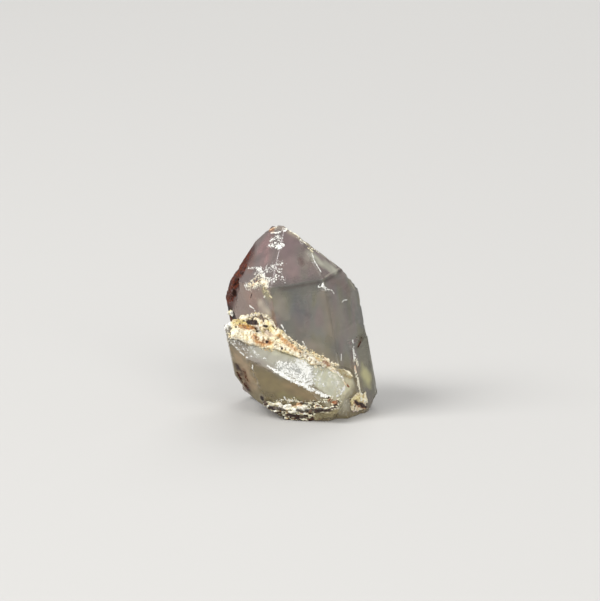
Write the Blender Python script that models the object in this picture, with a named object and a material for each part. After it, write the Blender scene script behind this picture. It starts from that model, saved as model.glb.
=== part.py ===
"""Smoky quartz with prehnite.

A stout six-sided quartz crystal leans to the left on its broken base. A second crystal lies across its lower
front and a small one stands against its right flank: the three grew together and are one solid. Prehnite and
iron-stained crusts sit on the ledge between them, along the front of the base and at the right foot.

Sizes are worked out in a frame with the main crystal's front face at Y = 0. +X is right as seen from the
front, +Y is away and +Z is up. The whole specimen is then moved so that its base stands centred on the origin.
"""
import math
import random

import bmesh
import bpy
from mathutils import Matrix, Vector, noise
from mathutils.bvhtree import BVHTree

MM = 0.001

# Quartz: the angle between an end face and the crystal's long axis
END_FACE_SLOPE = math.radians(38.2)
BLOCK_HALF = 70 * MM
GROUND = 0.85 * MM
CLEARANCE = 0.3 * MM
CRUST_LIFT = 0.15 * MM

# Main crystal: for each side face, its azimuth around the axis (0 faces the front, 90 the right), then its
# distance from the axis and the height of its shoulder, where the end face above it starts, both in mm
MAIN_LEAN = math.radians(-10)
MAIN_FOOT = Vector((1.2, 14.5, 0.2)) * MM
MAIN_FACES = {
    0: (14.5, 39.2),
    60: (17.6, 39.2),
    120: (18.4, 31.7),
    180: (16.3, 36.0),
    240: (19.7, 34.1),
    300: (9.9, 39.2),
}
TIP_BREAK_TILT = 65
TIP_BREAK_HEIGHT = 48.4

# Crossing crystal: its origin is on its front edge, and its long axis falls to the right
CROSSING_FALL = math.radians(27.6)
CROSSING_ORIGIN = Vector((-4.34, -6.5, 14.2)) * MM
CROSSING_SIDE_TILT = 30
CROSSING_LEDGE = 7.2
LEDGE_POINT = 6.8
LEDGE_RISE = 0.13
CROSSING_BACK = 20.0

# The crust's wall above the ledge: its height along the ledge, and where and how far it rises to its peak
WALL_LOW = 1.5
WALL_RISE = 4.3
WALL_PEAK = -8.6
WALL_SPREAD = 4.8

# Side crystal: it shares the main crystal's axis, and stands proud of the flank at azimuth 60
SIDE_PROUD = 0.6
SIDE_FRONT = 8.2
SIDE_SHOULDER = 18.0

QUARTZ_COLOUR = (0.36, 0.34, 0.31, 1)
PREHNITE_COLOUR = (0.80, 0.68, 0.42, 1)
BASE_CRUST_COLOUR = (0.22, 0.15, 0.09, 1)


def clear_scene():
    for thing in list(bpy.data.objects):
        bpy.data.objects.remove(thing)


def direction(azimuth, elevation):
    """Unit vector: azimuth 0 is towards the front, 90 to the right; elevation is above the horizontal."""
    turn, rise = math.radians(azimuth), math.radians(elevation)
    return Vector((math.sin(turn) * math.cos(rise), -math.cos(turn) * math.cos(rise), math.sin(rise)))


def face(azimuth, elevation, distance):
    """A crystal's face: its outward normal, and its distance from the crystal's origin in mm."""
    return direction(azimuth, elevation), distance * MM


def face_through(azimuth, elevation, point):
    """A face given by a point on it, in mm."""
    normal = direction(azimuth, elevation)
    return normal, normal.dot(Vector(point) * MM)


def end_face(azimuth, distance, shoulder):
    """The sloping face above a side face, which it meets at the shoulder's height."""
    slope = math.degrees(END_FACE_SLOPE)
    reach = distance * math.cos(END_FACE_SLOPE) + shoulder * math.sin(END_FACE_SLOPE)
    return face(azimuth, slope, reach)


def placing(origin, turn):
    """Where a crystal stands: its origin, and its turn about the axis that runs away from the front."""
    return Matrix.Translation(origin) @ Matrix.Rotation(turn, 4, "Y")


def into(place, plane):
    """The same plane, given in the crystal's own frame."""
    normal, distance = plane
    return place.to_3x3().transposed() @ normal, distance - normal.dot(place.translation)


def cut_block(planes, grow=0.0):
    """The convex solid inside all the planes, each moved outward by grow."""
    bm = bmesh.new()
    bmesh.ops.create_cube(bm, size=2 * BLOCK_HALF)
    for normal, distance in planes:
        parts = bm.verts[:] + bm.edges[:] + bm.faces[:]
        cut = bmesh.ops.bisect_plane(bm, geom=parts, dist=1e-8, plane_co=normal * (distance + grow),
                                     plane_no=normal, clear_outer=True)
        rim = [part for part in cut["geom_cut"] if isinstance(part, bmesh.types.BMEdge)]
        if rim:
            bmesh.ops.edgeloop_fill(bm, edges=rim)
    bmesh.ops.recalc_face_normals(bm, faces=bm.faces[:])
    return bm


def new_object(name, bm, place=None):
    mesh = bpy.data.meshes.new(name)
    bm.to_mesh(mesh)
    bm.free()
    thing = bpy.data.objects.new(name, mesh)
    bpy.context.scene.collection.objects.link(thing)
    if place is not None:
        thing.location = place.translation
        thing.rotation_euler = place.to_euler()
    return thing


def as_guide(thing):
    thing.hide_render = True
    thing.display_type = "WIRE"
    return thing


def combine(thing, other, operation):
    step = thing.modifiers.new(operation.lower() + "_" + other.name, "BOOLEAN")
    step.operation = operation
    step.solver = "EXACT"
    step.object = other


def bake(thing):
    """Replaces the mesh by what its modifiers make of it."""
    bpy.context.view_layer.update()
    graph = bpy.context.evaluated_depsgraph_get()
    mesh = bpy.data.meshes.new_from_object(thing.evaluated_get(graph))
    thing.modifiers.clear()
    thing.data = mesh


def material(name, colour, roughness, transmission=0.0):
    look = bpy.data.materials.new(name)
    look.use_nodes = True
    shader = look.node_tree.nodes["Principled BSDF"]
    shader.inputs["Base Color"].default_value = colour
    shader.inputs["Roughness"].default_value = roughness
    shader.inputs["Metallic"].default_value = 0.0
    shader.inputs["Transmission Weight"].default_value = transmission
    look.diffuse_color = colour
    return look


def base_breaks(inset=0.0):
    """The broken underside, left of the base, in the specimen's frame."""
    return [
        face_through(-79, -36, (-16.3 + inset, 2.0, 9.0 + inset)),
        face_through(-73, -56, (-11.4, -2.0, 5.3 + inset)),
    ]


def foot_break(outset=0.0):
    """The broken corner at the right foot."""
    return face_through(90, -33, (20.2 + outset, 12.0, 3.2))


def main_planes(place):
    planes = []
    for azimuth, (distance, shoulder) in MAIN_FACES.items():
        planes.append(face(azimuth, 0, distance))
        planes.append(end_face(azimuth, distance, shoulder))
    planes.append(face(-90, TIP_BREAK_TILT, TIP_BREAK_HEIGHT))
    planes += [into(place, plane) for plane in base_breaks() + [foot_break()]]
    planes.append(face(0, -90, 12))
    return planes


def crossing_planes(place):
    band, under = face(0, CROSSING_SIDE_TILT, 0), face(0, -CROSSING_SIDE_TILT, 0)
    ledge = face_through(-90, 90 - math.degrees(math.atan(LEDGE_RISE)), (LEDGE_POINT, 0, CROSSING_LEDGE))
    back = face(180, 0, CROSSING_BACK)
    polished_end = face_through(14, 27, (6.1, 2.23, 3.87))
    right_end = face_through(65, 0, (16.3, 1.73, 3.0))
    local = [band, under, ledge, back, polished_end, right_end]
    world = [
        face_through(88, 18, (16.0, 4.0, 7.4)),
        face_through(88, -18, (15.4, 3.0, 5.7)),
        face_through(80, -50, (12.3, 0.0, 2.0)),
        face_through(-42, -29, (-15.2, -6.5, 19.9)),
        face_through(-85, -12, (-21.0, 2.0, 25.3)),
        face_through(-125, 20, (-21.0, 4.0, 26.8)),
        face_through(0, -90, (0, 0, -6)),
    ]
    return local + [into(place, plane) for plane in world + base_breaks(0.5)]


def side_planes(place):
    distance = MAIN_FACES[60][0] + SIDE_PROUD
    return [
        face(0, 0, SIDE_FRONT),
        face(60, 0, distance),
        end_face(60, distance, SIDE_SHOULDER),
        face(120, 0, MAIN_FACES[120][0] - 0.05),
        face(180, 0, 6),
        face(270, 0, -8),
        face(0, -90, 12),
        into(place, foot_break(0.3)),
    ]


def rough_ball(radius, seed, squash=(1, 1, 1), bumps=0.25):
    """A small irregular ball, for a pit or a lump."""
    bm = bmesh.new()
    bmesh.ops.create_icosphere(bm, subdivisions=2, radius=1)
    shift = Vector((seed * 3.7, seed * 1.3, seed * 5.1))
    for vert in bm.verts:
        swell = 1 + bumps * noise.noise(vert.co * 1.4 + shift)
        vert.co = Vector(a * b for a, b in zip(vert.co * swell * radius * MM, squash))
    return bm


def pits():
    """Pits and chips in the quartz: place and radius in mm, and how far each is drawn out along X, Y, Z."""
    spots = {
        "upper_flank_pit": ((-18.4, 16.9, 35.6), 1.5, (0.9, 1.1, 1.7)),
        "lower_flank_pit": ((-19.1, 18.4, 32.4), 1.3, (0.9, 1.1, 1.5)),
        "left_edge_pit": ((-20.3, 21.4, 26.2), 1.5, (1, 1.1, 1.3)),
        "shoulder_chip": ((6.2, -0.3, 38.2), 0.8, (1.2, 0.9, 1.1)),
        "underside_pit": ((-11.2, -2.2, 7.0), 0.9, (1, 1, 1)),
    }
    cutters = []
    for seed, (name, (point, radius, squash)) in enumerate(spots.items()):
        pit = new_object(name, rough_ball(radius, seed, squash))
        pit.location = Vector(point) * MM
        cutters.append(as_guide(pit))
    return cutters


def ground_cutter(name, level):
    bm = bmesh.new()
    bmesh.ops.create_cube(bm, size=2 * BLOCK_HALF)
    block = new_object(name, bm)
    block.location.z = level - BLOCK_HALF
    return as_guide(block)


def smoky_quartz(main_place, crossing_place):
    """The three crystals joined in one solid, cut level at the base and pitted."""
    quartz = new_object("smoky_quartz", cut_block(main_planes(main_place)), main_place)
    crossing = new_object("crossing_crystal", cut_block(crossing_planes(crossing_place)), crossing_place)
    side = new_object("side_crystal", cut_block(side_planes(main_place)), main_place)
    for crystal in (crossing, side):
        combine(quartz, as_guide(crystal), "UNION")
    for cutter in [ground_cutter("ground_cutter", GROUND)] + pits():
        combine(quartz, cutter, "DIFFERENCE")
    quartz.data.materials.append(material("smoky quartz", QUARTZ_COLOUR, 0.2, 0.5))
    return quartz


def crust_room(main_place, crossing_place):
    """What the crusts are cut back to: the ground, and the crystals swollen by the clearance."""
    return [
        ground_cutter("crust_ground_cutter", GROUND + CRUST_LIFT),
        as_guide(new_object("main_room", cut_block(main_planes(main_place), CLEARANCE), main_place)),
        as_guide(new_object("crossing_room", cut_block(crossing_planes(crossing_place), CLEARANCE),
                            crossing_place)),
        as_guide(new_object("side_room", cut_block(side_planes(main_place), CLEARANCE), main_place)),
    ]


def ledge_lumps(place, front):
    """Lumps along the ledge.

    A row runs to its right end, a shelf fills its broad left end, a drape hangs over its front edge, and a wall
    climbs the main crystal behind it, highest above the shelf.
    """
    draw = random.Random(4)
    lean = math.tan(math.radians(CROSSING_SIDE_TILT))
    lumps = []

    def add(x, y, z, radius):
        lumps.append((place @ (Vector((x, y, z)) * MM), radius))

    for step in range(30):
        x = -17.8 + 1.2 * step
        height = ledge_height(x)
        add(x, height * lean + draw.uniform(0.1, 0.7), height - 0.1, 1.5 - 0.016 * step)
    for step in range(34):
        x = draw.uniform(-18.5, -5.0)
        depth = draw.uniform(4.5, 6.0 + 0.75 * (-4.0 - x))
        add(x, depth, ledge_height(x) + draw.uniform(-0.3, 0.2), draw.uniform(1.2, 1.7))
    for step in range(30):
        x = draw.uniform(-15.5, -2.0)
        height = draw.uniform(3.2 + max(0.0, 0.28 * (x + 13)), 6.4)
        add(x, height * lean + 0.25, height, draw.uniform(0.9, 1.2))
    for step in range(100):
        x = -15.5 + 27.5 * step / 99
        foot = place @ (Vector((x, 0, ledge_height(x))) * MM) / MM
        top = WALL_LOW + WALL_RISE * math.exp(-((foot.x - WALL_PEAK) / WALL_SPREAD) ** 2)
        z = foot.z + draw.uniform(0.3, top - 0.9)
        lumps.append((Vector((foot.x, front(foot.x, z) - 0.2, z)) * MM, draw.uniform(0.9, 1.3)))
    return lumps


def ledge_height(x):
    """Height of the ledge above the crossing crystal's origin, in mm."""
    return CROSSING_LEDGE - LEDGE_RISE * (LEDGE_POINT - x)


def front_finder(quartz):
    """A function that gives the depth of the quartz's front surface at a place seen from the front, in mm."""
    bpy.context.view_layer.update()
    graph = bpy.context.evaluated_depsgraph_get()
    tree = BVHTree.FromObject(quartz, graph)
    to_world, to_quartz = quartz.matrix_world, quartz.matrix_world.inverted()

    def front(x, z):
        start = to_quartz @ (Vector((x, -40, z)) * MM)
        ahead = to_quartz.to_3x3() @ Vector((0, 1, 0))
        return (to_world @ tree.ray_cast(start, ahead)[0]).y / MM

    return front


def base_lumps(front):
    """Lumps along the front of the base, between the crossing crystal's underside and the ground."""
    draw = random.Random(9)
    lumps = []
    for step in range(110):
        x = -9.4 + 19.0 * step / 109
        low = 1.8 + 0.6 * max(0.0, -3.0 - x) + 0.35 * max(0.0, x - 4.5)
        z = draw.uniform(low, 5.5 + 0.5 * math.cos(1.3 * (x + 5)))
        lumps.append((Vector((x, front(x, z) + 0.1, z)) * MM, draw.uniform(0.85, 1.3)))
    return lumps


def foot_lumps(front):
    """Lumps in the nook between the crossing crystal's right end and the side crystal's foot."""
    draw = random.Random(2)
    lumps = []
    for step in range(40):
        x, z = 16.2 + draw.uniform(-2.0, 1.9), 3.9 + draw.uniform(-2.3, 2.2)
        lumps.append((Vector((x, front(x, z), z)) * MM, draw.uniform(0.8, 1.2)))
    return lumps


def crust(name, lumps, rooms, look, ratio):
    """Lumps grown into one crust, roughened, and cut back clear of the quartz and the ground."""
    bm = bmesh.new()
    for seed, (centre, radius) in enumerate(lumps):
        ball = rough_ball(radius, seed)
        mesh = bpy.data.meshes.new("lump")
        ball.to_mesh(mesh)
        ball.free()
        mesh.transform(Matrix.Translation(centre))
        bm.from_mesh(mesh)
        bpy.data.meshes.remove(mesh)
    piece = new_object(name, bm)
    grown = piece.modifiers.new("grown together", "REMESH")
    grown.mode = "VOXEL"
    grown.voxel_size = 0.4 * MM
    bake(piece)
    roughen(piece, 0.35)
    fewer = piece.modifiers.new("fewer faces", "DECIMATE")
    fewer.ratio = ratio
    fewer.use_collapse_triangulate = True
    bake(piece)
    for room in rooms:
        combine(piece, room, "DIFFERENCE")
    bake(piece)
    keep_largest_body(piece)
    piece.data.materials.clear()
    piece.data.materials.append(look)
    return piece


def roughen(piece, depth):
    for vert in piece.data.vertices:
        grain = noise.noise(vert.co / MM * 0.8) + 0.6 * noise.noise(vert.co / MM * 1.9)
        vert.co += vert.normal * grain * depth * MM


def keep_largest_body(piece):
    """Drops the loose crumbs that cutting leaves."""
    bm = bmesh.new()
    bm.from_mesh(piece.data)
    waiting, bodies = set(bm.verts), []
    while waiting:
        body, edge_of_body = set(), [waiting.pop()]
        while edge_of_body:
            vert = edge_of_body.pop()
            body.add(vert)
            for near in (edge.other_vert(vert) for edge in vert.link_edges):
                if near in waiting:
                    waiting.remove(near)
                    edge_of_body.append(near)
        bodies.append(body)
    bodies.sort(key=len)
    for body in bodies[:-1]:
        bmesh.ops.delete(bm, geom=list(body), context="VERTS")
    bm.to_mesh(piece.data)
    bm.free()


def stand_on_origin(pieces):
    """Parents the pieces to an empty that sets the middle of their base on the origin."""
    bpy.context.view_layer.update()
    graph = bpy.context.evaluated_depsgraph_get()
    points = []
    for piece in pieces:
        shape = piece.evaluated_get(graph)
        points += [piece.matrix_world @ vert.co for vert in shape.data.vertices]
    low = Vector(min(point[axis] for point in points) for axis in range(3))
    high = Vector(max(point[axis] for point in points) for axis in range(3))
    specimen = bpy.data.objects.new("specimen", None)
    specimen.location = (-(low.x + high.x) / 2, -(low.y + high.y) / 2, -low.z)
    bpy.context.scene.collection.objects.link(specimen)
    for thing in bpy.context.scene.objects:
        if thing is not specimen:
            thing.parent = specimen
    bpy.context.view_layer.update()


def main():
    clear_scene()
    main_place = placing(MAIN_FOOT, MAIN_LEAN)
    crossing_place = placing(CROSSING_ORIGIN, CROSSING_FALL)
    quartz = smoky_quartz(main_place, crossing_place)
    prehnite = material("prehnite crust", PREHNITE_COLOUR, 0.75)
    dark_crust = material("base crust", BASE_CRUST_COLOUR, 0.85)
    rooms = crust_room(main_place, crossing_place)
    front = front_finder(quartz)
    pieces = [
        quartz,
        crust("prehnite_ledge_crust", ledge_lumps(crossing_place, front), rooms, prehnite, 0.16),
        crust("base_crust", base_lumps(front), rooms, dark_crust, 0.2),
        crust("prehnite_foot_crust", foot_lumps(front), rooms, prehnite, 0.25),
    ]
    stand_on_origin(pieces)


main()
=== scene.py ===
"""The looks of the smoky quartz with prehnite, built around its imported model.

The quartz and each crust get a fine mesh in place of their plain solid. Thin lacy crusts and the
iron stain on the crystal's faces are cut from the fine quartz surface. Lengths are in millimetres
where nothing else is said, and pixels are those of the photograph, seen through the scene's own
camera.
"""
import math
import random

import bmesh
import bpy
import numpy as np
from mathutils import Matrix, Vector, noise
from mathutils.bvhtree import BVHTree
from mathutils.kdtree import KDTree


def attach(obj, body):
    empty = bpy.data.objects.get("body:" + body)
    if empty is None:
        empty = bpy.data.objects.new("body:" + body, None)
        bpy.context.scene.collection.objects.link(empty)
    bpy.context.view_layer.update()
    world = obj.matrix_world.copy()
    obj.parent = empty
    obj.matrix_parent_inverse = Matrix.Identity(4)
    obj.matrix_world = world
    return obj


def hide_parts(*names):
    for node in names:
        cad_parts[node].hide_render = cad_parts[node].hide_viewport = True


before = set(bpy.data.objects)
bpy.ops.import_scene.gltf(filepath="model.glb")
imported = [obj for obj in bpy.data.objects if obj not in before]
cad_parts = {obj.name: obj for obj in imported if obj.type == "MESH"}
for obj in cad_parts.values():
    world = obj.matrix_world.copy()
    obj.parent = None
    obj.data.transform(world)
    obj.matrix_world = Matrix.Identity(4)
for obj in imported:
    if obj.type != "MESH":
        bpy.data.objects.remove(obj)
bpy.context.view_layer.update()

MM = 0.001
FRAME_WIDTH, FRAME_HEIGHT = 600, 601
CAMERA_ELEVATION = math.radians(12)
CAMERA_DISTANCE = 933
CAMERA_TARGET = Vector((-0.38, -7.15, 32.85))
LENS, SENSOR = 200, 36
OUTLINE_MIDDLE = (298, 330)
EYE_RIGHT = Vector((1, 0, 0))
EYE_UP = Vector((0, math.sin(CAMERA_ELEVATION), math.cos(CAMERA_ELEVATION)))
EYE_BACK = Vector((0, -math.cos(CAMERA_ELEVATION), math.sin(CAMERA_ELEVATION)))
EYE = CAMERA_TARGET + EYE_BACK * CAMERA_DISTANCE
PIXEL_ANGLE = SENSOR / LENS / FRAME_HEIGHT

MAIN_LEAN = math.radians(10)
CROSSING_FALL = math.radians(27.6)
MAIN_AXIS = Vector((-math.sin(MAIN_LEAN), 0, math.cos(MAIN_LEAN)))
CROSSING_AXIS = Vector((math.cos(CROSSING_FALL), 0, -math.sin(CROSSING_FALL)))
CROSSING_UP = Vector((math.sin(CROSSING_FALL), 0, math.cos(CROSSING_FALL)))
CROSSING_SIDE_TILT = math.radians(30)
END_FACE_SLOPE = math.radians(38.2)

QUARTZ_VOXEL = 0.33
CRUST_VOXEL = 0.14
EDGE_SPACING, SHARP_ANGLE = 0.15, math.radians(8)
ROUNDED_EDGE = 1.2 * QUARTZ_VOXEL  # points this near to an edge keep their rounding
SLIDE_STEPS, SLIDE_PARTS = 12, 50
FLOOR_GAP = 0.02
SKIN = 0.12
BARE = 0.02  # no crust where it would cover less than this share


def linear(*display):
    """A colour given in display values from 0 to 255, as the light values that shaders use."""
    return tuple(c / 255 / 12.92 if c <= 10 else ((c / 255 + 0.055) / 1.055) ** 2.4
                 for c in display)


def smooth(low, high, values):
    t = np.clip((values - low) / (high - low), 0, 1)
    return t * t * (3 - 2 * t)


def noise_at(places):
    return np.array([noise.noise(Vector(place)) for place in places])


def grain(points, scale, seed=0.0, stretch=(1, 1, 1)):
    """Noise from about -1 to 1 at each point; scale is the size of its bumps in mm."""
    return noise_at(points * (np.array(stretch) / scale) + seed)


def cells(points, scale, seed=0.0):
    """Distance to the nearest of scattered seeds, in seed spacings, at each point."""
    spread = points / scale + seed
    return np.array([noise.voronoi(Vector(p))[0][0] for p in spread])


def view_ray(u, v):
    """The camera's line of sight through a pixel."""
    across, rise = (u - FRAME_WIDTH / 2) * PIXEL_ANGLE, (FRAME_HEIGHT / 2 - v) * PIXEL_ANGLE
    return (EYE_RIGHT * across + EYE_UP * rise - EYE_BACK).normalized()


def picture_place(points):
    """Where the points lie across the picture, in mm at the crystal's distance."""
    apart = points - np.array(EYE)
    depth = -(apart @ np.array(EYE_BACK)) / CAMERA_DISTANCE
    return np.stack([apart @ np.array(EYE_RIGHT) / depth, apart @ np.array(EYE_UP) / depth], axis=1)


def place_camera():
    camera = bpy.data.objects.new("camera", bpy.data.cameras.new("camera"))
    camera.location = EYE * MM
    camera.rotation_euler = (math.pi / 2 - CAMERA_ELEVATION, 0, 0)
    camera.data.sensor_fit = "VERTICAL"
    camera.data.sensor_height = SENSOR
    camera.data.sensor_width = SENSOR
    camera.data.lens = LENS
    bpy.context.scene.collection.objects.link(camera)
    bpy.context.scene.camera = camera


class Solid:
    """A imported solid, for finding where a pixel falls on it and which face a point is on."""

    def __init__(self, node):
        self.mesh = bmesh.new()
        self.mesh.from_mesh(node.data)
        bmesh.ops.remove_doubles(self.mesh, verts=self.mesh.verts, dist=1e-6)
        bmesh.ops.scale(self.mesh, verts=self.mesh.verts, vec=(1 / MM,) * 3)
        self.mesh.normal_update()
        self.tree = BVHTree.FromBMesh(self.mesh)
        self.edges = self.sharp_edges()

    def sharp_edges(self):
        """Points along every sharp edge, in a tree that finds the nearest."""
        points = []
        for edge in self.mesh.edges:
            if len(edge.link_faces) == 2 and edge.calc_face_angle() > SHARP_ANGLE:
                start, end = (vert.co for vert in edge.verts)
                count = max(1, int((end - start).length / EDGE_SPACING))
                points += [start.lerp(end, i / count) for i in range(count + 1)]
        tree = KDTree(len(points))
        for index, point in enumerate(points):
            tree.insert(point, index)
        tree.balance()
        return tree

    def seen(self, u, v):
        """The point of the surface that shows at a pixel, and the surface's normal there.

        A pixel just off the outline slides towards the middle until it meets the surface.
        """
        for slide in range(SLIDE_STEPS):
            across = u + (OUTLINE_MIDDLE[0] - u) * slide / SLIDE_PARTS
            down = v + (OUTLINE_MIDDLE[1] - v) * slide / SLIDE_PARTS
            spot, normal, _, _ = self.tree.ray_cast(EYE, view_ray(across, down))
            if spot is not None:
                return spot, normal
        raise ValueError(f"nothing shows near pixel {u}, {v}")

    def stroke(self, pixels):
        return [self.seen(u, v)[0] for u, v in pixels]


QUARTZ = Solid(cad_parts["smoky_quartz"])


def stroke_distance(points, stroke):
    """Distance in mm from each point to a line through the stroke's points."""
    ends = [np.array(p) for p in stroke]
    if len(ends) == 1:
        return np.linalg.norm(points - ends[0], axis=1)
    best = np.full(len(points), 1e9)
    for start, end in zip(ends, ends[1:]):
        run = end - start
        along = np.clip((points - start) @ run / max(run @ run, 1e-9), 0, 1)
        best = np.minimum(best, np.linalg.norm(points - (start + along[:, None] * run), axis=1))
    return best


def blot(points, pixels, radius, soft=0.5):
    """1 near the stroke through the pixels, falling to 0 at the radius in mm."""
    gap = stroke_distance(points, QUARTZ.stroke(pixels))
    return 1 - smooth(radius * (1 - soft), radius, gap)


def picture_blot(points, pixels, radius, soft=0.5):
    """Like blot, but measured across the picture, for crusts that stand off the quartz."""
    pixel = PIXEL_ANGLE * CAMERA_DISTANCE
    stroke = [((u - FRAME_WIDTH / 2) * pixel, (FRAME_HEIGHT / 2 - v) * pixel) for u, v in pixels]
    return 1 - smooth(radius * (1 - soft), radius, stroke_distance(picture_place(points), stroke))


def ragged(weight, speckle):
    """Breaks up the border of a soft weight with a speckle of noise."""
    return np.clip(1.7 * weight + 0.8 * speckle - 0.4, 0, 1) * (weight > 0)


def read_points(mesh):
    points = np.empty(len(mesh.vertices) * 3)
    mesh.vertices.foreach_get("co", points)
    normals = np.empty(len(mesh.vertices) * 3)
    mesh.vertices.foreach_get("normal", normals)
    return points.reshape(-1, 3) / MM, normals.reshape(-1, 3)


def write_points(mesh, points):
    mesh.vertices.foreach_set("co", (points * MM).ravel())
    mesh.update()


def set_colour(mesh, values):
    old = mesh.attributes.get("tint")
    if old:
        mesh.attributes.remove(old)
    layer = mesh.attributes.new("tint", "FLOAT_VECTOR", "POINT")
    layer.data.foreach_set("vector", np.clip(values, 0, 1).ravel())


def set_value(mesh, name, values):
    layer = mesh.attributes.new(name, "FLOAT", "POINT")
    layer.data.foreach_set("value", values)


def evaluated(thing):
    bpy.context.view_layer.update()
    graph = bpy.context.evaluated_depsgraph_get()
    return bpy.data.meshes.new_from_object(thing.evaluated_get(graph))


def new_piece(name, mesh, look, smooth_faces=True):
    mesh.name = name
    piece = bpy.data.objects.new(name, mesh)
    bpy.context.scene.collection.objects.link(piece)
    mesh.materials.clear()
    mesh.materials.append(look)
    if smooth_faces:
        mesh.shade_smooth()
    return piece


def fine_mesh(node, voxel, soften=0):
    """A dense, even mesh of a node's shape, its corners rounded by some steps of softening."""
    copy = bpy.data.objects.new("copy", node.data.copy())
    bpy.context.scene.collection.objects.link(copy)
    remesh = copy.modifiers.new("fine", "REMESH")
    remesh.mode = "VOXEL"
    remesh.voxel_size = voxel * MM
    if soften:
        rounding = copy.modifiers.new("soften", "SMOOTH")
        rounding.iterations = soften
    mesh = evaluated(copy)
    bpy.data.objects.remove(copy)
    return mesh


def quartz_face(azimuth, slope):
    """Normal of a face of the main crystal, from the turn around its axis in degrees."""
    turn, flat = math.radians(azimuth), math.cos(slope)
    normal = Vector((math.sin(turn) * flat, -math.cos(turn) * flat, math.sin(slope)))
    return np.array(Matrix.Rotation(-MAIN_LEAN, 3, "Y") @ normal)


def crossing_face(tilt):
    """Normal of a front side face of the crossing crystal."""
    return np.array(Vector((0, -math.cos(tilt), 0)) + CROSSING_UP * math.sin(tilt))


def mix(base, colour, weight):
    return base + (np.array(colour) - base) * weight[:, None]


def washed(base, washes):
    """Lays colours over the base in turn, each given in display values and with its weights."""
    for tone, weight in washes:
        base = mix(base, linear(*tone), weight)
    return base


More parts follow.
